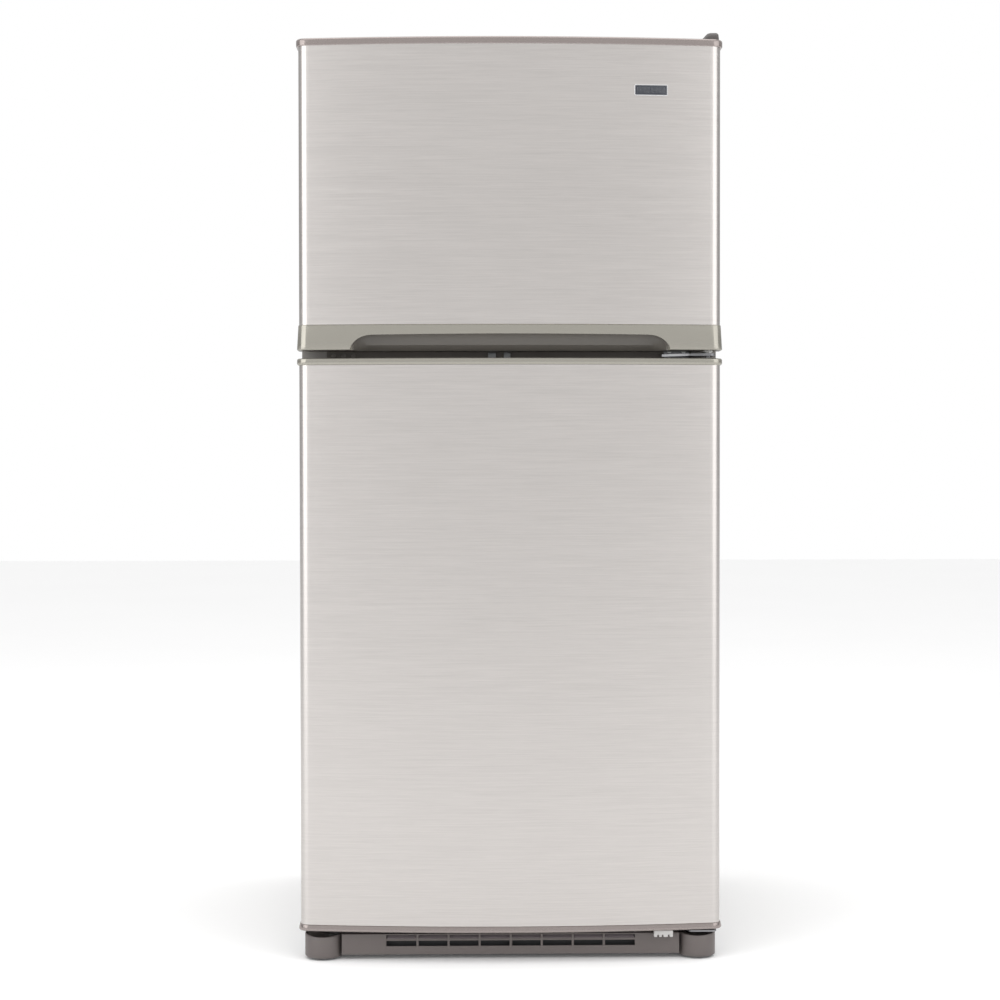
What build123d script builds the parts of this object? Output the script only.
"""Top freezer refrigerator, 760 mm wide, with bowed doors and pocket handles.

Frame: millimetres, +X to the right seen from the front, +Y to the back, +Z up.
The origin is on the floor, under the middle of the refrigerator's overall box.
Both doors hang on the right, on one vertical hinge line.
"""
from build123d import *
from math import radians, sin
import os

os.makedirs("parts", exist_ok=True)

# ---------------------------------------------------------------- driving dimensions
WIDTH = 760  # over the door trims
DEPTH = 780  # from the doors' apex to the back of the cabinet
HEIGHT = 1658  # to the top of the hinge cover
FRONT = -DEPTH / 2
REAR = DEPTH / 2

CABINET_HALF = 375
CABINET_FRONT = -298
CABINET_BOTTOM = 42
CABINET_TOP = 1640
SHEET = 1  # outer sheet metal
LINER = 2  # thermoformed liners
FLANGE_HALF = 330  # inner edge of the cabinet's front flange
FLANGE_TOP = 1598
FOAM_FRONT = CABINET_FRONT + 2
FOLD = 6  # outer radius of the cabinet's top folds

BOW = 2800  # radius of the doors' bowed fronts
DOOR_HALF = WIDTH / 2 - 4
DOOR_CORNER = 18
SKIN_FRONT = FRONT + 1.5
DOOR_BACK = -312
INNER_FACE = DOOR_BACK + 2  # back of the inner door's flat border
FREEZER_DOOR = (1091, 1643)
FRIDGE_DOOR = (54, 1076.5)
TOP_TRIM = 13
HANDLE_TRIM = 45
THIN_TRIM = 12

HINGE_X = 356
HINGE_Y = -334
PIN = 4
RUNNING = 0.05  # radial clearance of a pin that turns
GAP = 0.3  # between faces of different moving pieces

FREEZER_HALF = 318  # outside of the freezer liner
FREEZER_BAY = (1124, 1586)
FREEZER_BACK = 329
FRIDGE_HALF = 325
FRIDGE_BAY = (86, 1050)
FRIDGE_BACK = 335
BAY_CORNER = 14  # rounded long corners of both bays
STEP_Z = 350  # the fridge floor steps up over the machine space
STEP_LOW_Y = 107
STEP_HIGH_Y = 130
MULLION = (1056, 1118)
BASE_FLANGE = 82

RIDGE_OUT = 308  # ridge round the inner door
RIDGE_IN = 286
RIDGE_FACE = -286
POCKET_FACE = -345  # bottom of the inner door's recess

SIDES = (-1, 1)


# ---------------------------------------------------------------- helpers
def across(half):
    """Limits of something centred on the middle plane."""
    return (-half, half)


def block(x, y, z, mode=Mode.ADD):
    """Adds, or cuts, the box between three pairs of limits."""
    limits = (x, y, z)
    with Locations(tuple((low + high) / 2 for low, high in limits)):
        Box(*(high - low for low, high in limits), mode=mode)


def rod(x, y, z, radius, mode=Mode.ADD):
    """Adds, or cuts, a cylinder along the one coordinate that is a pair of limits."""
    limits = (x, y, z)
    along = next(i for i, v in enumerate(limits) if isinstance(v, tuple))
    centre = tuple(sum(v) / 2 if isinstance(v, tuple) else v for v in limits)
    turn = ((0, 90, 0), (90, 0, 0), (0, 0, 0))[along]
    with Locations(Location(centre, turn)):
        Cylinder(radius, limits[along][1] - limits[along][0], mode=mode)


def save(piece, name):
    """Labels a finished piece and writes its STEP file."""
    piece.part.label = name
    export_step(piece.part, f"parts/{name}.step")


def bow_at(x, front):
    """How far back the bowed front has come at x, when its apex is at front."""
    return front + x * x / (2 * BOW)


def bowed_plan(half, front, back, corner):
    """Plan of a door layer: square back, bowed front, rounded front corners."""
    shoulder = bow_at(half, front)
    with BuildSketch() as plan:
        with BuildLine():
            Polyline((-half, shoulder), (-half, back), (half, back), (half, shoulder))
            ThreePointArc((-half, shoulder), (0, front), (half, shoulder))
        make_face()
        fillet(plan.vertices().group_by(Axis.Y)[0], corner)
    return plan.sketch


def bowed_band(half, near, far, corner):
    """Plan of a pocket that follows the bow, between two distances from the front."""
    with BuildSketch() as band:
        with BuildLine():
            ThreePointArc((-half, bow_at(half, near)), (0, near), (half, bow_at(half, near)))
            Line((half, bow_at(half, near)), (half, bow_at(half, far)))
            ThreePointArc((half, bow_at(half, far)), (0, far), (-half, bow_at(half, far)))
            Line((-half, bow_at(half, far)), (-half, bow_at(half, near)))
        make_face()
        fillet(band.vertices(), corner)
    return band.sketch


# ================================================================ cabinet
def cabinet_section(half, low, high, fold):
    """Front view of the cabinet's outline, with its two top folds."""
    with BuildSketch() as section:
        with Locations((0, (low + high) / 2)):
            Rectangle(2 * half, high - low)
        fillet(section.vertices().group_by(Axis.Y)[-1], fold)
    return section.sketch


REAR_FLANGE = 12
with BuildPart() as cabinet_wrapper:
    outline = cabinet_section(CABINET_HALF, CABINET_BOTTOM, CABINET_TOP, FOLD)
    inside = cabinet_section(
        CABINET_HALF - SHEET, CABINET_BOTTOM, CABINET_TOP - SHEET, FOLD - SHEET
    )
    with BuildSketch(Plane.XZ.offset(-CABINET_FRONT)):
        add(outline)
        add(inside, mode=Mode.SUBTRACT)
    extrude(amount=CABINET_FRONT - REAR)
    for face_y, inner_half, inner_top in (
        (CABINET_FRONT, FLANGE_HALF, FLANGE_TOP),
        (REAR - SHEET, CABINET_HALF - REAR_FLANGE, CABINET_TOP - REAR_FLANGE),
    ):
        with BuildSketch(Plane.XZ.offset(-face_y)):
            add(outline)
            with Locations((0, (CABINET_BOTTOM + inner_top) / 2)):
                Rectangle(
                    2 * inner_half, inner_top - CABINET_BOTTOM, mode=Mode.SUBTRACT
                )
        extrude(amount=-SHEET)
save(cabinet_wrapper, "cabinet_wrapper")

MACHINE_TOP = 300  # underside of the foam over the machine space
MACHINE_FRONT = 175
PAN = 1.5
PANEL_FACE = REAR - 2 * SHEET
with BuildPart() as rear_panel:
    panel = cabinet_section(
        CABINET_HALF - SHEET, MACHINE_TOP, CABINET_TOP - SHEET, FOLD - SHEET
    )
    with BuildSketch(Plane.XZ.offset(-PANEL_FACE)):
        add(panel)
    extrude(amount=-SHEET)
    for z in (520, 820, 1120, 1420):  # pressed stiffening ribs
        block(across(300), (PANEL_FACE, PANEL_FACE + 2), (z - 10, z + 10))
save(rear_panel, "rear_panel")

with BuildPart() as foam_block:
    with BuildSketch(Plane.YZ.offset(-(CABINET_HALF - SHEET))):
        with BuildLine():
            Polyline(
                (FOAM_FRONT, CABINET_BOTTOM + PAN),
                (MACHINE_FRONT - 25, CABINET_BOTTOM + PAN),
                (MACHINE_FRONT, MACHINE_TOP),
                (PANEL_FACE, MACHINE_TOP),
                (PANEL_FACE, CABINET_TOP - SHEET),
                (FOAM_FRONT, CABINET_TOP - SHEET),
                close=True,
            )
        make_face()
    extrude(amount=2 * (CABINET_HALF - SHEET))
    fillet(foam_block.edges().filter_by(Axis.Y).group_by(Axis.Z)[-1], FOLD - SHEET)


def freezer_bay(inset, front):
    """The freezer bay's solid, shrunk by inset."""
    with BuildPart() as bay:
        with BuildSketch(Plane.XZ.offset(-front)):
            with Locations((0, sum(FREEZER_BAY) / 2)):
                RectangleRounded(
                    2 * (FREEZER_HALF - inset),
                    FREEZER_BAY[1] - FREEZER_BAY[0] - 2 * inset,
                    BAY_CORNER - inset,
                )
        extrude(amount=front - FREEZER_BACK + inset)
    return bay.part


def fridge_bay(inset, front):
    """The fridge bay's solid, stepped over the machine space and shrunk by inset."""
    low, high = FRIDGE_BAY[0] + inset, FRIDGE_BAY[1] - inset
    half = FRIDGE_HALF - inset
    with BuildPart() as bay:
        with BuildSketch(Plane.YZ.offset(-half)):
            with BuildLine():
                Polyline(
                    (front, low),
                    (STEP_LOW_Y - inset, low),
                    (STEP_HIGH_Y - inset, STEP_Z + inset),
                    (FRIDGE_BACK - inset, STEP_Z + inset),
                    (FRIDGE_BACK - inset, high),
                    (front, high),
                    close=True,
                )
            make_face()
        extrude(amount=2 * half)
        fillet(bay.edges().filter_by(Axis.Y), BAY_CORNER - inset)
    return bay.part


with BuildPart() as cabinet_foam:
    add(foam_block.part)
    add(freezer_bay(0, FOAM_FRONT - 5), mode=Mode.SUBTRACT)
    add(fridge_bay(0, FOAM_FRONT - 5), mode=Mode.SUBTRACT)
save(cabinet_foam, "cabinet_foam")

with BuildPart() as base_pan:
    with BuildSketch(Plane.YZ.offset(-(CABINET_HALF - SHEET))):
        with BuildLine():
            Polyline(
                (CABINET_FRONT + SHEET, CABINET_BOTTOM),
                (PANEL_FACE, CABINET_BOTTOM),
                (PANEL_FACE, CABINET_BOTTOM + PAN),
                (MACHINE_FRONT - 25 + PAN, CABINET_BOTTOM + PAN),
                (MACHINE_FRONT + PAN, MACHINE_TOP - PAN),
                (PANEL_FACE, MACHINE_TOP - PAN),
                (PANEL_FACE, MACHINE_TOP),
                (MACHINE_FRONT, MACHINE_TOP),
                (MACHINE_FRONT - 25, CABINET_BOTTOM + PAN),
                (CABINET_FRONT + SHEET, CABINET_BOTTOM + PAN),
                close=True,
            )
        make_face()
    extrude(amount=2 * (CABINET_HALF - SHEET))
    block(
        across(FLANGE_HALF), (CABINET_FRONT, FOAM_FRONT), (CABINET_BOTTOM, BASE_FLANGE)
    )
    LEG_X, LEG_Y, LEG_ROD = 336, -270, 4.5
    for side in SIDES:  # threaded bosses that take the leveling legs
        rod(side * LEG_X, LEG_Y, (24, CABINET_BOTTOM), 9)
        rod(
            side * LEG_X, LEG_Y, (23, CABINET_BOTTOM), LEG_ROD + RUNNING, Mode.SUBTRACT
        )
save(base_pan, "base_pan")

SHELF_LEDGE = 8
FREEZER_SHELF_Z = 1362
CRISPER_COVER_Z = 316
FRIDGE_SHELVES = (CRISPER_COVER_Z, 500, 680, 860)
FRAME_DEPTH = 14
SHELF_FRONT = -205
with BuildPart() as freezer_liner:
    add(freezer_bay(0, CABINET_FRONT))
    block(
        across(FLANGE_HALF), (CABINET_FRONT, FOAM_FRONT), (MULLION[1], FLANGE_TOP)
    )
    add(freezer_bay(LINER, CABINET_FRONT - 1), mode=Mode.SUBTRACT)
    wall = FREEZER_HALF - LINER
    top = FREEZER_SHELF_Z - FRAME_DEPTH
    for side in SIDES:
        ledge = tuple(sorted((side * (wall - SHELF_LEDGE), side * wall)))
        block(ledge, (SHELF_FRONT + 5, 215), (top - 5, top))
save(freezer_liner, "freezer_liner")

with BuildPart() as fridge_liner:
    add(fridge_bay(0, CABINET_FRONT))
    block(
        across(FLANGE_HALF), (CABINET_FRONT, FOAM_FRONT), (BASE_FLANGE, MULLION[0])
    )
    add(fridge_bay(LINER, CABINET_FRONT - 1), mode=Mode.SUBTRACT)
    wall = FRIDGE_HALF - LINER
    for side in SIDES:
        ledge = tuple(sorted((side * (wall - SHELF_LEDGE), side * wall)))
        for z in FRIDGE_SHELVES:
            far = 110 if z == CRISPER_COVER_Z else 250
            block(ledge, (SHELF_FRONT + 5, far), (z - FRAME_DEPTH - 5, z - FRAME_DEPTH))
save(fridge_liner, "fridge_liner")

with BuildPart() as mullion_rail:
    block(across(FLANGE_HALF), (CABINET_FRONT, FOAM_FRONT), MULLION)
    for x in (-318, -300, -282):  # screw holes of the left-hand hinge position
        rod(x, (CABINET_FRONT - 1, FOAM_FRONT + 1), 1084, 2.5, Mode.SUBTRACT)
save(mullion_rail, "mullion_rail")

# ================================================================ freezer inside
COVER_Y = 235
FAN_Z = 1500
with BuildPart() as evaporator_cover:
    wall = FREEZER_HALF - LINER
    low, high = FREEZER_BAY[0] + LINER, FREEZER_BAY[1] - LINER
    with BuildSketch(Plane.XZ.offset(-COVER_Y)):
        with Locations((0, (low + high) / 2)):
            RectangleRounded(2 * wall, high - low, BAY_CORNER - LINER)
    extrude(amount=-3)
    block(across(190), (COVER_Y - 8, COVER_Y), (low + 60, high - 25))
    fillet(evaporator_cover.faces().sort_by(Axis.Y)[0].edges(), 3)
    block(across(187), (COVER_Y - 5, COVER_Y + 3), (low + 63, high - 28), Mode.SUBTRACT)
    for k in range(7):  # louvres in front of the fan
        z = FAN_Z - 36 + 12 * k
        block(across(75), (COVER_Y - 9, COVER_Y - 4), (z, z + 6), Mode.SUBTRACT)
    for k in range(-11, 12):  # return air slots along the bottom
        x = 24 * k
        block((x - 3, x + 3), (COVER_Y - 1, COVER_Y + 4), (low + 12, low + 42), Mode.SUBTRACT)
save(evaporator_cover, "evaporator_cover")

with BuildPart() as evaporator_coil:
    for k in range(-13, 14):
        block((20 * k - 0.3, 20 * k + 0.3), (255, 310), (1150, 1360))
    for y in (268, 297):
        for k in range(7):
            rod(across(275), y, 1165 + 30 * k, 4)
save(evaporator_coil, "evaporator_coil")


def fan_wheel(radius, hub, depth, blades, pitch, bore):
    """A fan wheel turning about Z, centred on the origin."""
    with BuildPart() as wheel:
        Cylinder(hub, depth)
        reach = radius - hub + 3
        for k in range(blades):
            turn = Location((0, 0, 0), (0, 0, 360 * k / blades))
            with Locations(turn * Location(((hub + radius) / 2 - 1.5, 0, 0), (pitch, 0, 0))):
                Box(reach, 0.9 * depth / sin(radians(pitch)), 1.6)
        Cylinder(bore, depth + 2, mode=Mode.SUBTRACT)
    return wheel.part


with BuildPart() as evaporator_fan:
    add(fan_wheel(48, 16, 18, 5, 35, 2 + RUNNING).moved(Location((0, 262, FAN_Z), (90, 0, 0))))
save(evaporator_fan, "evaporator_fan")

with BuildPart() as evaporator_fan_motor:
    rod(0, (250, 276), FAN_Z, 2)
    rod(0, (275, 305), FAN_Z, 22)
    block(across(70), (305, FREEZER_BACK - LINER), (FAN_Z - 12, FAN_Z + 12))
save(evaporator_fan_motor, "evaporator_fan_motor")

with BuildPart() as freezer_shelf:
    z = FREEZER_SHELF_Z - FRAME_DEPTH + 3
    for y in (SHELF_FRONT + 3, 20, 215):
        rod(across(313), y, z, 3)
    for x in across(310):
        rod(x, (SHELF_FRONT + 3, 215), z, 3)
    for k in range(-15, 16):
        rod(19.6 * k, (SHELF_FRONT + 3, 215), z + 4, 1.75)
    rod(across(313), SHELF_FRONT + 3, z + 8, 2.5)
save(freezer_shelf, "freezer_shelf")

# ================================================================ fridge inside
CEILING = FRIDGE_BAY[1] - LINER
FRIDGE_WALL = FRIDGE_HALF - LINER
with BuildPart() as air_duct:
    block(across(95), (305, FRIDGE_BACK - LINER), (440, CEILING))
    fillet(air_duct.faces().sort_by(Axis.Y)[0].edges().filter_by(Axis.Z), 10)
    for z in (480, 640, 820):  # air outlets
        for k in range(4):
            low = z + 14 * k
            block(across(55), (304, 320), (low, low + 6), Mode.SUBTRACT)
save(air_duct, "air_duct")

HOUSING_FRONT = -252
KNOB_X = 95
KNOB_Z = 1024
SWITCH_X = 150
with BuildPart() as control_housing:
    block(across(175), (HOUSING_FRONT, -40), (1000, CEILING))
    fillet(control_housing.edges().filter_by(Axis.X).group_by(Axis.Z)[0], 6)
    block(across(172), (HOUSING_FRONT + 3, -43), (1003, CEILING + 1), Mode.SUBTRACT)
    block(across(80), (-190, -70), (999, 1004), Mode.SUBTRACT)  # lamp opening
    for side in SIDES:
        rod(
            side * KNOB_X, (HOUSING_FRONT - 1, HOUSING_FRONT + 4), KNOB_Z,
            PIN + RUNNING, Mode.SUBTRACT,
        )
    block(
        (SWITCH_X - 5.3, SWITCH_X + 5.3), (HOUSING_FRONT - 1, HOUSING_FRONT + 4),
        (KNOB_Z - 5.3, KNOB_Z + 5.3), Mode.SUBTRACT,
    )
save(control_housing, "control_housing")

for side, name in ((-1, "fridge_knob"), (1, "freezer_knob")):
    with BuildPart() as knob:
        face = HOUSING_FRONT - GAP
        rod(side * KNOB_X, (face - 8, face), KNOB_Z, 19)
        rod(side * KNOB_X, (face, HOUSING_FRONT + 8), KNOB_Z, PIN)
        block(
            (side * KNOB_X - 4, side * KNOB_X + 4), (face - 16, face - 7),
            (KNOB_Z - 17, KNOB_Z + 17),
        )
    save(knob, name)

with BuildPart() as light_lens:
    block(across(80), (-190, -70), (997, 1003))
    block(across(77), (-187, -73), (999, 1004), Mode.SUBTRACT)
save(light_lens, "light_lens")

with BuildPart() as door_switch_plunger:
    block(
        (SWITCH_X - 5, SWITCH_X + 5), (RIDGE_FACE + GAP, HOUSING_FRONT + 14),
        (KNOB_Z - 5, KNOB_Z + 5),
    )
    fillet(door_switch_plunger.faces().sort_by(Axis.Y)[0].edges(), 2)
save(door_switch_plunger, "door_switch_plunger")

FRAME_BAND = 16
GLASS = 4
FRAME_HALF = FRIDGE_WALL - 1


def shelf_rear(z):
    """The crisper cover stops short of the sloped step."""
    return 118 if z == CRISPER_COVER_Z else 255


DELI = (-306, -32)
DELI_TOP = 482
with BuildPart() as shelf_frames:
    for z in FRIDGE_SHELVES:
        rear = shelf_rear(z)
        glass_half = FRAME_HALF - FRAME_BAND + 5
        block(across(FRAME_HALF), (SHELF_FRONT, rear), (z - FRAME_DEPTH, z))
        block(
            across(FRAME_HALF - FRAME_BAND), (SHELF_FRONT + FRAME_BAND, rear - FRAME_BAND),
            (z - FRAME_DEPTH - 1, z + 1), Mode.SUBTRACT,
        )
        block(
            across(glass_half), (SHELF_FRONT + FRAME_BAND - 5, rear - FRAME_BAND + 5),
            (z - 1 - GLASS, z + 1), Mode.SUBTRACT,
        )
    fronts = shelf_frames.edges().filter_by(Axis.X).group_by(Axis.Y)[0]
    fillet(fronts, 3)
    for x in DELI:  # rails the deli drawer hangs in
        out = 1 if x == DELI[1] else -1
        web = tuple(sorted((x + 6.5 * out, x + 8.5 * out)))
        lip = tuple(sorted((x + 1.5 * out, x + 6.5 * out)))
        block(web, (SHELF_FRONT + 20, 200), (DELI_TOP - 10, 500 - FRAME_DEPTH))
        block(lip, (SHELF_FRONT + 20, 200), (DELI_TOP - 10, DELI_TOP - 8))
    block(  # bridge that carries the drawer's inner rail
        (DELI[1] + 6, DELI[1] + 20), (SHELF_FRONT + 10, 245), (500 - FRAME_DEPTH, 494)
    )
    SLIDER_X = 159
    block(  # groove of the humidity slider
        (SLIDER_X - 34, SLIDER_X + 34), (SHELF_FRONT - 1, SHELF_FRONT + 4),
        (CRISPER_COVER_Z - 9, CRISPER_COVER_Z - 5), Mode.SUBTRACT,
    )
save(shelf_frames, "shelf_frames")

with BuildPart() as shelf_glass:
    for z in FRIDGE_SHELVES:
        glass_half = FRAME_HALF - FRAME_BAND + 5
        rear = shelf_rear(z) - FRAME_BAND + 5
        block(across(glass_half), (SHELF_FRONT + FRAME_BAND - 5, rear), (z - 1 - GLASS, z - 1))
save(shelf_glass, "shelf_glass")

with BuildPart() as humidity_slider:
    z = CRISPER_COVER_Z - 7
    face = SHELF_FRONT - GAP
    block((SLIDER_X - 12, SLIDER_X + 12), (face - 3, face), (z - 5, z + 5))
    block((SLIDER_X - 9, SLIDER_X + 9), (face, SHELF_FRONT + 3), (z - 1.7, z + 1.7))
    block((SLIDER_X - 1.5, SLIDER_X + 1.5), (face - 7, face - 3), (z - 5, z + 5))
save(humidity_slider, "humidity_slider")


def drawer(x, y, z, wall, rim):
    """An open-topped drawer with a rim on both sides and a pull along its front."""
    middle = (x[0] + x[1]) / 2
    with BuildPart() as tub:
        block(x, y, z)
        fillet(tub.edges().filter_by(Axis.Z), 14)
        fillet(tub.faces().sort_by(Axis.Z)[0].edges(), 8)
        block(
            (x[0] + wall, x[1] - wall), (y[0] + wall, y[1] - wall), (z[0] + wall, z[1] + 1),
            Mode.SUBTRACT,
        )
        block((x[0] - rim, x[0] + 1), (y[0] + 16, y[1] - 16), (z[1] - 3, z[1]))
        block((x[1] - 1, x[1] + rim), (y[0] + 16, y[1] - 16), (z[1] - 3, z[1]))
        with BuildSketch(Plane.YZ.offset(middle - 70)):
            with BuildLine():
                Polyline(
                    (y[0] + 1, z[1]),
                    (y[0] - 12, z[1]),
                    (y[0] - 12, z[1] - 18),
                    (y[0] - 9, z[1] - 18),
                    (y[0] - 9, z[1] - 4),
                    (y[0] + 1, z[1] - 4),
                    close=True,
                )
            make_face()
        extrude(amount=140)
    return tub.part


CRISPER_FRONT = -195
CRISPER_TOP = 299
with BuildPart() as crisper_left:
    add(drawer((-309, -9), (CRISPER_FRONT, 98), (92, CRISPER_TOP), 2.5, 3))
save(crisper_left, "crisper_left")

with BuildPart() as crisper_right:
    add(drawer((9, 309), (CRISPER_FRONT, 98), (92, CRISPER_TOP), 2.5, 3))
save(crisper_right, "crisper_right")

with BuildPart() as deli_drawer:
    add(drawer(DELI, (CRISPER_FRONT + 5, 190), (392, DELI_TOP), 2.5, 6))
save(deli_drawer, "deli_drawer")

# ================================================================ doors
def door_skin(z):
    """Sheet metal wrapped round the front and sides, with a narrow return behind."""
    with BuildPart() as skin:
        with BuildSketch(Plane.XY.offset(z[0])):
            add(bowed_plan(DOOR_HALF, SKIN_FRONT, DOOR_BACK, DOOR_CORNER))
            add(
                bowed_plan(
                    DOOR_HALF - SHEET, SKIN_FRONT + SHEET, DOOR_BACK - SHEET,
                    DOOR_CORNER - SHEET,
                ),
                mode=Mode.SUBTRACT,
            )
            with Locations((0, DOOR_BACK)):
                Rectangle(2 * (DOOR_HALF - 14), 8, mode=Mode.SUBTRACT)
        extrude(amount=z[1] - z[0])
    return skin.part


def door_ring(z, inner, outer, y):
    """A rectangular ring round the inner door, between two half-widths."""
    with BuildPart() as ring:
        block(across(outer), y, (z[0] + RIDGE_OUT - outer, z[1] - RIDGE_OUT + outer))
        block(
            across(inner), (y[0] - 1, y[1] + 1),
            (z[0] + RIDGE_OUT - inner, z[1] - RIDGE_OUT + inner), Mode.SUBTRACT,
        )
    return ring.part


def door_liner(border, ridge):
    """Inner door: a flat border, a raised ridge and a recess for the bins."""
    with BuildPart() as liner:
        block(across(DOOR_HALF - 14), (DOOR_BACK, INNER_FACE), border)
        block(across(RIDGE_OUT), (DOOR_BACK, RIDGE_FACE), ridge)
        fillet(liner.faces().sort_by(Axis.Y)[-1].edges(), 6)
        inner = (ridge[0] + RIDGE_OUT - RIDGE_IN, ridge[1] - RIDGE_OUT + RIDGE_IN)
        block(
            across(RIDGE_IN + LINER), (POCKET_FACE - LINER, DOOR_BACK),
            (inner[0] - LINER, inner[1] + LINER),
        )
        block(across(RIDGE_IN), (POCKET_FACE, RIDGE_FACE + 1), inner, Mode.SUBTRACT)
        add(
            door_ring(
                ridge, RIDGE_IN + LINER, RIDGE_OUT - LINER,
                (DOOR_BACK - 1, RIDGE_FACE - LINER - 4),
            ),
            mode=Mode.SUBTRACT,
        )
    return liner.part


def door_foam(z, ridge):
    """The insulation between the skin and the inner door."""
    inner = (ridge[0] + RIDGE_OUT - RIDGE_IN, ridge[1] - RIDGE_OUT + RIDGE_IN)
    with BuildPart() as foam:
        with BuildSketch(Plane.XY.offset(z[0])):
            add(
                bowed_plan(
                    DOOR_HALF - SHEET, SKIN_FRONT + SHEET, DOOR_BACK - SHEET,
                    DOOR_CORNER - SHEET,
                )
            )
            with Locations((0, DOOR_BACK - SHEET / 2)):
                Rectangle(2 * (DOOR_HALF - 14), SHEET)
        extrude(amount=z[1] - z[0])
        block(
            across(RIDGE_IN + LINER), (POCKET_FACE - LINER, DOOR_BACK + 1),
            (inner[0] - LINER, inner[1] + LINER), Mode.SUBTRACT,
        )
        add(
            door_ring(
                ridge, RIDGE_IN + LINER, RIDGE_OUT - LINER,
                (DOOR_BACK - 1, RIDGE_FACE - LINER - 4),
            )
        )
    return foam.part


GASKET_OUT = 348
GASKET_IN = 328


def door_gasket(z):
    """Magnetic gasket: a foot on the door, a narrow bellows and a sealing bead."""
    with BuildPart() as seal:
        for y, inset in (
            ((INNER_FACE, INNER_FACE + 3), 0),
            ((INNER_FACE + 3, INNER_FACE + 8), 4),
            ((INNER_FACE + 8, CABINET_FRONT - GAP), 1),
        ):
            ring = (GASKET_OUT - inset, GASKET_IN + inset)
            low, high = z[0] + inset, z[1] - inset
            band = ring[0] - ring[1]
            block(across(ring[0]), y, (low, high))
            block(across(ring[1]), y, (low + band, high - band), Mode.SUBTRACT)
    return seal.part


def door_bin(x, depth_to, z, height):
    """One open-topped door bin with a raised back and a round-cornered front."""
    wall = 2.5
    with BuildPart() as tray:
        block(x, (POCKET_FACE, depth_to), (z, z + height))
        fillet(tray.edges().filter_by(Axis.Z).group_by(Axis.Y)[-1], 12)
        fillet(tray.faces().sort_by(Axis.Z)[0].edges().group_by(Axis.Y)[-1], 4)
        block(
            (x[0] + wall, x[1] - wall), (POCKET_FACE + wall, depth_to - wall),
            (z + wall, z + height + 1), Mode.SUBTRACT,
        )
    return tray.part


# ---------------------------------------------------------------- freezer door
FREEZER_SKIN = (FREEZER_DOOR[0] + HANDLE_TRIM, FREEZER_DOOR[1] - TOP_TRIM)
FREEZER_RIDGE = (1142, 1576)
with BuildPart() as freezer_door_skin:
    add(door_skin(FREEZER_SKIN))
save(freezer_door_skin, "freezer_door_skin")

with BuildPart() as freezer_door_foam:
    add(door_foam(FREEZER_SKIN, FREEZER_RIDGE))
save(freezer_door_foam, "freezer_door_foam")

with BuildPart() as freezer_door_liner:
    add(door_liner((FREEZER_DOOR[0] + 6, FREEZER_DOOR[1] - TOP_TRIM), FREEZER_RIDGE))
save(freezer_door_liner, "freezer_door_liner")

with BuildPart() as freezer_door_gasket:
    add(door_gasket((1101, 1628)))
save(freezer_door_gasket, "freezer_door_gasket")

with BuildPart() as freezer_door_top_trim:
    with BuildSketch(Plane.XY.offset(FREEZER_SKIN[1])):
        add(bowed_plan(WIDTH / 2, FRONT, DOOR_BACK, DOOR_CORNER + 2))
    extrude(amount=TOP_TRIM)
    fillet(freezer_door_top_trim.faces().sort_by(Axis.Z)[-1].edges(), 2.5)
    rod(
        HINGE_X, HINGE_Y, (FREEZER_SKIN[1] - 1, FREEZER_DOOR[1] + 1),
        PIN + RUNNING, Mode.SUBTRACT,
    )
save(freezer_door_top_trim, "freezer_door_top_trim")

ARCH_TOP = 1119.3
LIP = 8
GRIP_DEPTH = 38
BUSH = 9
with BuildPart() as freezer_handle_trim:
    with BuildSketch(Plane.XY.offset(FREEZER_DOOR[0])):
        add(bowed_plan(WIDTH / 2, FRONT, DOOR_BACK, DOOR_CORNER + 2))
    extrude(amount=HANDLE_TRIM)
    with BuildSketch(Plane.XY.offset(FREEZER_DOOR[0] - 5)):  # finger space behind the lip
        add(bowed_band(262, FRONT + LIP, FRONT + GRIP_DEPTH, 6))
    extrude(amount=42, mode=Mode.SUBTRACT)
    with BuildSketch(Plane.XZ.offset(-FRONT + 20)) as arch:  # the lip's arched lower edge
        with BuildLine():
            Polyline(
                (-260, ARCH_TOP - 2), (-282, FREEZER_DOOR[0] - 5),
                (282, FREEZER_DOOR[0] - 5), (260, ARCH_TOP - 2),
            )
            ThreePointArc((260, ARCH_TOP - 2), (0, ARCH_TOP), (-260, ARCH_TOP - 2))
        make_face()
        fillet(arch.vertices().group_by(Axis.Y)[-1], 22)
    extrude(amount=-20 - GRIP_DEPTH + 5, mode=Mode.SUBTRACT)
    rod(HINGE_X, HINGE_Y, (FREEZER_DOOR[0] - 2.2, FREEZER_DOOR[0] + 1), BUSH)
    rod(
        HINGE_X, HINGE_Y, (FREEZER_DOOR[0] - 3, FREEZER_DOOR[0] + 10),
        PIN + RUNNING, Mode.SUBTRACT,
    )
save(freezer_handle_trim, "freezer_handle_trim")

with BuildPart() as freezer_door_bins:
    add(door_bin(across(RIDGE_IN), -225, 1180, 85))
    add(door_bin(across(RIDGE_IN), -225, 1400, 75))
save(freezer_door_bins, "freezer_door_bins")

BADGE_X = 250
BADGE_Z = 1550
with BuildPart() as badge:
    with BuildSketch(Plane.XY.offset(BADGE_Z - 10)):
        add(bowed_plan(DOOR_HALF + 2, SKIN_FRONT - 2, DOOR_BACK, DOOR_CORNER))
        with Locations((BADGE_X, SKIN_FRONT)):
            Rectangle(60, 80, mode=Mode.INTERSECT)
        add(
            bowed_plan(DOOR_HALF, SKIN_FRONT - 0.02, DOOR_BACK, DOOR_CORNER),
            mode=Mode.SUBTRACT,
        )
    extrude(amount=20)
    fillet(badge.edges().filter_by(lambda e: e.length < 3), 2)
save(badge, "badge")

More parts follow.
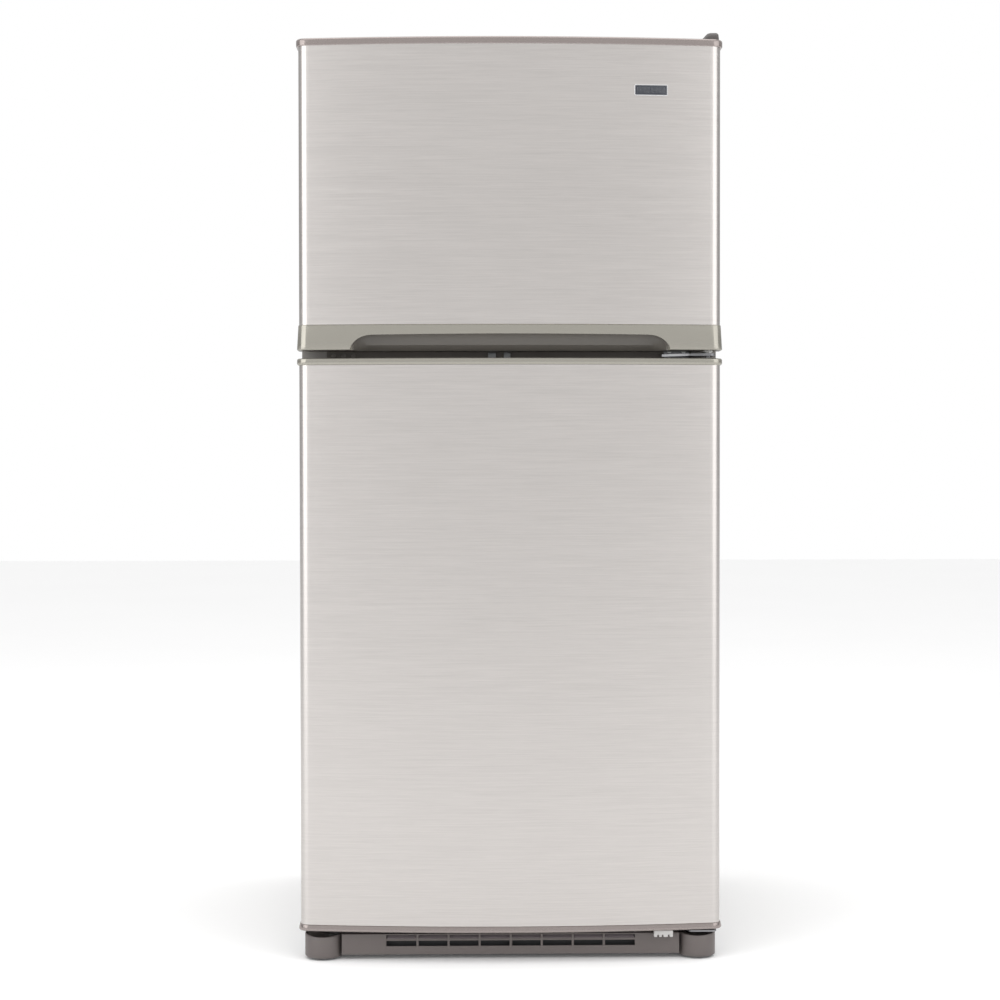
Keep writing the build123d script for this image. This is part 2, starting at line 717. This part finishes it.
# ---------------------------------------------------------------- fridge door
FRIDGE_SKIN = (FRIDGE_DOOR[0] + THIN_TRIM, FRIDGE_DOOR[1] - THIN_TRIM)
FRIDGE_RIDGE = (98, 1038)
CUP = (FRONT + 10, FRONT + 38, 268, 1036)  # near, far, half-width, lowest point


def finger_cup(grow, top):
    """The finger space in the top of the fridge door, grown by a wall thickness."""
    near, far, half, low = CUP
    with BuildPart() as cup:
        with BuildSketch(Plane.XY.offset(low - grow)):
            add(bowed_band(half + grow, near - grow, far + grow, 6 + grow))
        extrude(amount=top - low + grow)
    return cup.part


with BuildPart() as fridge_door_skin:
    add(door_skin(FRIDGE_SKIN))
save(fridge_door_skin, "fridge_door_skin")

with BuildPart() as fridge_door_foam:
    add(door_foam(FRIDGE_SKIN, FRIDGE_RIDGE))
    add(finger_cup(LINER, FRIDGE_SKIN[1] + 1), mode=Mode.SUBTRACT)
save(fridge_door_foam, "fridge_door_foam")

with BuildPart() as fridge_door_liner:
    add(door_liner((FRIDGE_SKIN[0], FRIDGE_DOOR[1] - 4), FRIDGE_RIDGE))
save(fridge_door_liner, "fridge_door_liner")

with BuildPart() as fridge_door_gasket:
    add(door_gasket((62, 1070)))
save(fridge_door_gasket, "fridge_door_gasket")

with BuildPart() as fridge_door_top_trim:
    with BuildSketch(Plane.XY.offset(FRIDGE_SKIN[1])):
        add(bowed_plan(WIDTH / 2, FRONT, DOOR_BACK, DOOR_CORNER + 2))
    extrude(amount=THIN_TRIM)
    fillet(fridge_door_top_trim.faces().sort_by(Axis.Z)[-1].edges(), 2.5)
    add(finger_cup(LINER, FRIDGE_SKIN[1] + 1))
    add(finger_cup(0, FRIDGE_DOOR[1] + 1), mode=Mode.SUBTRACT)
    rod(
        HINGE_X, HINGE_Y, (FRIDGE_SKIN[1] - 1, FRIDGE_DOOR[1] + 1),
        PIN + RUNNING, Mode.SUBTRACT,
    )
save(fridge_door_top_trim, "fridge_door_top_trim")

with BuildPart() as fridge_door_bottom_trim:
    with BuildSketch(Plane.XY.offset(FRIDGE_SKIN[0])):
        add(bowed_plan(DOOR_HALF + 2, FRONT, DOOR_BACK + 10, DOOR_CORNER))
    extrude(amount=-THIN_TRIM, taper=-8)
    block(
        across(WIDTH), (DOOR_BACK, DOOR_BACK + 30), (FRIDGE_DOOR[0] - 1, FRIDGE_SKIN[0] + 1),
        Mode.SUBTRACT,
    )
    block(
        across(WIDTH), (FRONT - 30, FRONT), (FRIDGE_DOOR[0] - 1, FRIDGE_SKIN[0] + 1),
        Mode.SUBTRACT,
    )
    rod(HINGE_X, HINGE_Y, (FRIDGE_DOOR[0] - 2.4, FRIDGE_DOOR[0] + 1), BUSH)
    rod(
        HINGE_X, HINGE_Y, (FRIDGE_DOOR[0] - 3, FRIDGE_DOOR[0] + 11),
        PIN + RUNNING, Mode.SUBTRACT,
    )
save(fridge_door_bottom_trim, "fridge_door_bottom_trim")

with BuildPart() as door_stop:
    block((256, 290), (-373, -357), (42, FRIDGE_DOOR[0]))
    for x in (262, 270, 281):  # notches between the stop's fingers
        block((x, x + 3), (-374, -356), (41, 46), Mode.SUBTRACT)
save(door_stop, "door_stop")

DAIRY = (-RIDGE_IN, -6)
DAIRY_Z = 800
LID_Y = -337
LID_Z = 895
LID_DEPTH = 100
with BuildPart() as fridge_door_bins:
    add(door_bin(across(RIDGE_IN), -255, 122, 120))
    add(door_bin(across(RIDGE_IN), -225, 390, 90))
    add(door_bin(across(RIDGE_IN), -225, 600, 90))
    add(door_bin((6, RIDGE_IN), -225, DAIRY_Z, 80))
    add(door_bin(DAIRY, LID_Y + LID_DEPTH - 1, DAIRY_Z, 70))
    for x in (DAIRY[0], DAIRY[1] - 3):  # ears that hold the dairy lid's pins
        block((x, x + 3), (POCKET_FACE, LID_Y + 8), (DAIRY_Z + 10, LID_Z + 8))
        rod((x - 1, x + 4), LID_Y, LID_Z, 2 + RUNNING, Mode.SUBTRACT)
save(fridge_door_bins, "fridge_door_bins")

with BuildPart() as dairy_lid:
    low, high = DAIRY[0] + 3 + GAP, DAIRY[1] - 3 - GAP
    far = LID_Y + LID_DEPTH
    rod((DAIRY[0] + 0.5, DAIRY[1] - 0.5), LID_Y, LID_Z, 2)
    rod((low, high), LID_Y, LID_Z, 4)
    block((low, high), (LID_Y, far + 3), (LID_Z + 1, LID_Z + 4))
    block((low, high), (far, far + 3), (DAIRY_Z + 74, LID_Z + 4))
    block((-180, -112), (far + 3, far + 9), (DAIRY_Z + 74, DAIRY_Z + 78))
    fillet(dairy_lid.edges().filter_by(Axis.X).group_by(Axis.Z)[-1].sort_by(Axis.Y)[-1], 2.5)
save(dairy_lid, "dairy_lid")

# ================================================================ hinges
HINGE_PLATE = 3
DOOR_GAP = (FRIDGE_DOOR[1], FREEZER_DOOR[0])
MIDDLE = (1081.5, 1086)
FOOT_PLATE = (48.3, 51.3)
STRAP_X = 358
STRAP_HALF = 12.5
STRAP_RISE = 5.5
SCREW = 2.5
with BuildPart() as top_hinge:
    top = CABINET_TOP
    with BuildSketch(Plane.YZ.offset(STRAP_X - STRAP_HALF)):
        with BuildLine():
            Polyline(
                (-205, top), (-298, top), (-305, top + STRAP_RISE), (-347, top + STRAP_RISE),
                (-347, top + STRAP_RISE + HINGE_PLATE), (-304, top + STRAP_RISE + HINGE_PLATE),
                (-296, top + HINGE_PLATE), (-205, top + HINGE_PLATE),
                close=True,
            )
        make_face()
    extrude(amount=2 * STRAP_HALF)
    fillet(top_hinge.edges().filter_by(Axis.Z).group_by(Axis.Y)[0], 8)
    fillet(top_hinge.edges().filter_by(Axis.Z).group_by(Axis.Y)[-1], 5)
    rod(HINGE_X, HINGE_Y, (FREEZER_SKIN[1] + 2, top + STRAP_RISE + 1), PIN)
    TOP_SCREWS = (-282, -252, -222)
    for y in TOP_SCREWS:
        rod(STRAP_X, y, (top - 1, top + HINGE_PLATE + 1), SCREW + 0.1, Mode.SUBTRACT)
save(top_hinge, "top_hinge")

COVER_X = (342, 374)
with BuildPart() as top_hinge_cover:
    outline = (
        (COVER_X[0], 1646), (COVER_X[0] + 13, HEIGHT), (COVER_X[1] - 3, HEIGHT),
        (COVER_X[1], HEIGHT - 4),
    )
    for y, low in (((-355, -198), 1644), ((-297.5, -198), CABINET_TOP)):
        with BuildSketch(Plane.XZ.offset(-y[0])):
            with BuildLine():
                Polyline((COVER_X[0], low), *outline, (COVER_X[1], low), close=True)
            make_face()
        extrude(amount=y[0] - y[1])
    fillet(top_hinge_cover.edges().filter_by(Axis.X).group_by(Axis.Z)[-1], 5)
    block(
        (COVER_X[0] + 2, COVER_X[1] - 2), (-353, -200), (CABINET_TOP - 1, 1649.5), Mode.SUBTRACT
    )
    block((355, COVER_X[1] - 3), (-350, -203), (1649, HEIGHT - 3), Mode.SUBTRACT)
save(top_hinge_cover, "top_hinge_cover")

with BuildPart() as middle_hinge:
    with BuildSketch(Plane.XY.offset(MIDDLE[0])) as plate:
        with BuildLine():
            Polyline(
                (275, CABINET_FRONT), (275, -316), (322, -348), (368, -348),
                (368, CABINET_FRONT), close=True,
            )
        make_face()
        fillet(plate.vertices().group_by(Axis.Y)[0], 9)
    extrude(amount=MIDDLE[1] - MIDDLE[0])
    block((280, 326), (CABINET_FRONT - HINGE_PLATE, CABINET_FRONT), (1071, 1099))
    rod(HINGE_X, HINGE_Y, (DOOR_GAP[0] - 9, DOOR_GAP[1] + 8), PIN)
    MIDDLE_SCREWS = ((290, 1076.5), (316, 1076.5), (290, 1092), (316, 1092))
    for x, z in MIDDLE_SCREWS:
        rod(
            x, (CABINET_FRONT - HINGE_PLATE - 1, CABINET_FRONT + 1), z,
            SCREW + 0.1, Mode.SUBTRACT,
        )
save(middle_hinge, "middle_hinge")

with BuildPart() as lower_hinge:
    with BuildSketch(Plane.XY.offset(FOOT_PLATE[0])) as plate:
        with BuildLine():
            Polyline(
                (300, CABINET_FRONT), (300, -316), (322, -360), (370, -360),
                (370, CABINET_FRONT), close=True,
            )
        make_face()
        fillet(plate.vertices().group_by(Axis.Y)[0], 9)
    extrude(amount=FOOT_PLATE[1] - FOOT_PLATE[0])
    block((306, 352), (CABINET_FRONT - HINGE_PLATE, CABINET_FRONT), (46.5, 61.3))
    rod(HINGE_X, HINGE_Y, (FOOT_PLATE[1], FRIDGE_DOOR[0] + 9), PIN)
    LOWER_SCREWS = ((314, 56.5), (336, 56.5))
    for x, z in LOWER_SCREWS:
        rod(
            x, (CABINET_FRONT - HINGE_PLATE - 1, CABINET_FRONT + 1), z,
            SCREW + 0.1, Mode.SUBTRACT,
        )
save(lower_hinge, "lower_hinge")


def hex_head(radius, height):
    """A hexagon screw head standing on XY."""
    with BuildPart() as head:
        with BuildSketch():
            RegularPolygon(radius, 6)
        extrude(amount=height)
    return head.part


with BuildPart() as hinge_screws:
    for y in TOP_SCREWS:
        top = CABINET_TOP + HINGE_PLATE
        rod(STRAP_X, y, (CABINET_TOP, top), SCREW)
        add(hex_head(5, 3.5).moved(Location((STRAP_X, y, top))))
    for x, z in MIDDLE_SCREWS + LOWER_SCREWS:
        face = CABINET_FRONT - HINGE_PLATE
        rod(x, (face, CABINET_FRONT), z, SCREW)
        add(hex_head(4.6, 3.2).moved(Location((x, face, z), (90, 0, 0))))
    washer = (MIDDLE[1], MIDDLE[1] + 2.5)  # the freezer door sits on it
    rod(HINGE_X, HINGE_Y, washer, 8)
    rod(HINGE_X, HINGE_Y, (washer[0] - 1, washer[1] + 1), PIN + 0.1, Mode.SUBTRACT)
save(hinge_screws, "hinge_screws")

# ================================================================ base
COVER_RADIUS = 33.5
PANEL_TOP = 46
PANEL_FRONT = -355
COVER_INNER = LEG_X + 0.5 - COVER_RADIUS
with BuildPart() as leg_covers:
    for side in SIDES:
        x = side * (LEG_X + 0.5)
        middle = -365 + COVER_RADIUS
        for radius, z, mode in (
            (COVER_RADIUS, (2, PANEL_TOP), Mode.ADD),
            (COVER_RADIUS - 2.5, (1, PANEL_TOP - 2.5), Mode.SUBTRACT),
        ):
            rod(x, middle, z, radius, mode)
            block((x - radius, x + radius), (middle, CABINET_FRONT + 30), z, mode)
    block(across(WIDTH), (CABINET_FRONT - HINGE_PLATE, -250), (0, 60), Mode.SUBTRACT)
save(leg_covers, "leg_covers")

OPENING_HALF = 223
DIVIDER = 5
CELLS = 8
UPPER_SLOT = (37.4, 43.2)
LOWER_SLOT = (24, 33.5)
with BuildPart() as base_grille:
    block(across(COVER_INNER), (PANEL_FRONT, PANEL_FRONT + 3), (9, PANEL_TOP))
    block(across(COVER_INNER), (PANEL_FRONT, PANEL_FRONT + 22), (PANEL_TOP - 2, PANEL_TOP))
    block(across(COVER_INNER), (PANEL_FRONT, PANEL_FRONT + 22), (9, 11))
    fillet(base_grille.edges().filter_by(Axis.X).group_by(Axis.Y)[0], 1.5)
    for x in (-290, 0, 287):  # brackets back to the cabinet
        block((x, x + 3), (PANEL_FRONT + 2, CABINET_FRONT), (16, PANEL_TOP))
    pitch = 2 * OPENING_HALF / CELLS
    for k in range(CELLS):
        x = (
            -OPENING_HALF + k * pitch + DIVIDER / 2,
            -OPENING_HALF + (k + 1) * pitch - DIVIDER / 2,
        )
        for slot in (UPPER_SLOT, LOWER_SLOT):
            block(x, (PANEL_FRONT - 1, PANEL_FRONT + 4), slot, Mode.SUBTRACT)
save(base_grille, "base_grille")

for side, name in ((-1, "leveling_leg_left"), (1, "leveling_leg_right")):
    with BuildPart() as leg:
        rod(side * LEG_X, LEG_Y, (0, 8), 15)
        chamfer(leg.faces().sort_by(Axis.Z)[-1].edges(), 2)
        add(hex_head(9, 7).moved(Location((side * LEG_X, LEG_Y, 8))))
        rod(side * LEG_X, LEG_Y, (14, 41), LEG_ROD)
    save(leg, name)

ROLLER_Y, ROLLER, ROLLER_WIDTH = 300, 20, 16
AXLE = 3
for side, name in ((-1, "rear_roller_left"), (1, "rear_roller_right")):
    with BuildPart() as roller:
        x = side * 330
        rod((x - ROLLER_WIDTH / 2, x + ROLLER_WIDTH / 2), ROLLER_Y, ROLLER, ROLLER)
        chamfer(roller.faces().filter_by(Axis.X).edges(), 1.5)
        rod((x - 20, x + 20), ROLLER_Y, ROLLER, AXLE + RUNNING, Mode.SUBTRACT)
    save(roller, name)

with BuildPart() as roller_brackets:
    for side in SIDES:
        x = side * 330
        half = ROLLER_WIDTH / 2 + 0.5
        block((x - half - 2, x + half + 2), (ROLLER_Y - 24, ROLLER_Y + 24), (40.5, CABINET_BOTTOM))
        for wall in ((x - half - 2, x - half), (x + half, x + half + 2)):
            block(wall, (ROLLER_Y - 14, ROLLER_Y + 14), (ROLLER - 8, CABINET_BOTTOM))
        rod((x - half - 3, x + half + 3), ROLLER_Y, ROLLER, AXLE)
save(roller_brackets, "roller_brackets")

# ================================================================ machine space
FLOOR = CABINET_BOTTOM + PAN
COMPRESSOR = (-195, 285)
with BuildPart() as compressor:
    cx, cy = COMPRESSOR
    with BuildSketch(Plane.XY.offset(60)):
        with Locations((cx, cy)):
            Ellipse(92, 66)
    extrude(amount=145)
    fillet(compressor.edges().group_by(Axis.Z)[-1], 42)
    fillet(compressor.edges().group_by(Axis.Z)[0], 20)
    block((cx - 100, cx + 100), (cy - 45, cy + 45), (60, 63))
    for dx in across(90):
        for dy in across(38):
            rod(cx + dx, cy + dy, (FLOOR, 66), 9)
    block((cx + 60, cx + 112), (cy - 25, cy + 25), (100, 150))  # terminal box
    rod(cx - 40, cy - 25, (180, 214), 5)
save(compressor, "compressor")

FAN_X = 22
FAN_Y = 282
FAN_MID = 150
with BuildPart() as condenser_fan:
    add(fan_wheel(64, 18, 20, 5, 35, AXLE + RUNNING).moved(
        Location((FAN_X, FAN_Y, FAN_MID), (0, 90, 0))
    ))
save(condenser_fan, "condenser_fan")

with BuildPart() as condenser_fan_motor:
    block((40, 43), (202, 362), (FLOOR, 235))
    rod((39, 44), FAN_Y, FAN_MID, 68, Mode.SUBTRACT)
    rod((44, 84), FAN_Y, FAN_MID, 24)
    rod((8, 45), FAN_Y, FAN_MID, AXLE)
    for k in range(3):
        with Locations(Location((45.5, FAN_Y, FAN_MID), (120 * k + 90, 0, 0)) * Pos(0, 48, 0)):
            Box(5, 56, 8)
save(condenser_fan_motor, "condenser_fan_motor")

COIL_X = (100, 330)
with BuildPart() as condenser_coil:
    for x in COIL_X:
        block((x - 1, x + 1), (205, 345), (68, 240))
    for row in range(5):
        for k in range(6):
            rod(COIL_X, 220 + 22 * k, 82 + 36 * row, 3)
    for x in range(120, 320, 25):
        for row in range(5):
            z = 82 + 36 * row
            block((x - 1, x + 1), (216, 334), (z - 5, z - 2))
    with BuildLine(mode=Mode.PRIVATE) as run:  # discharge line from the compressor
        FilletPolyline(
            (COMPRESSOR[0] - 40, COMPRESSOR[1] - 25, 214),
            (COMPRESSOR[0] - 40, COMPRESSOR[1] - 25, 262),
            (140, COMPRESSOR[1] - 25, 262),
            (140, COMPRESSOR[1] - 25, 222),
            radius=14,
        )
    with BuildSketch(Plane(run.line @ 0, z_dir=run.line % 0)):
        Circle(3)
    sweep(path=run.line)
save(condenser_coil, "condenser_coil")

with BuildPart() as drip_pan:
    block((92, 340), (192, 355), (FLOOR, 64))
    fillet(drip_pan.edges().filter_by(Axis.Z), 12)
    block((94, 338), (194, 353), (FLOOR + 2, 65), Mode.SUBTRACT)
save(drip_pan, "drip_pan")

INLET_X, INLET_Z = -325, 262
with BuildPart() as machine_cover:
    block(across(CABINET_HALF - SHEET), (REAR - 2, REAR - 1), (CABINET_BOTTOM, MACHINE_TOP))
    for z in range(84, 230, 16):  # vents
        for x in (-250, -130, 90, 210):
            block((x, x + 80), (REAR - 3, REAR), (z, z + 6), Mode.SUBTRACT)
    block(
        (INLET_X - 16, INLET_X + 16), (REAR - 3, REAR), (INLET_Z - 12, INLET_Z + 12),
        Mode.SUBTRACT,
    )
save(machine_cover, "machine_cover")

with BuildPart() as cord_inlet:
    block((INLET_X - 16, INLET_X + 16), (REAR - 28, REAR - 0.5), (INLET_Z - 12, INLET_Z + 12))
    fillet(cord_inlet.edges().filter_by(Axis.Y), 2)
    block(
        (INLET_X - 12, INLET_X + 12), (REAR - 18, REAR), (INLET_Z - 8, INLET_Z + 8), Mode.SUBTRACT
    )
    for dx, dz in ((-7, -2), (0, 3), (7, -2)):
        block(
            (INLET_X + dx - 1, INLET_X + dx + 1), (REAR - 19, REAR - 4),
            (INLET_Z + dz - 2, INLET_Z + dz + 2),
        )
save(cord_inlet, "cord_inlet")
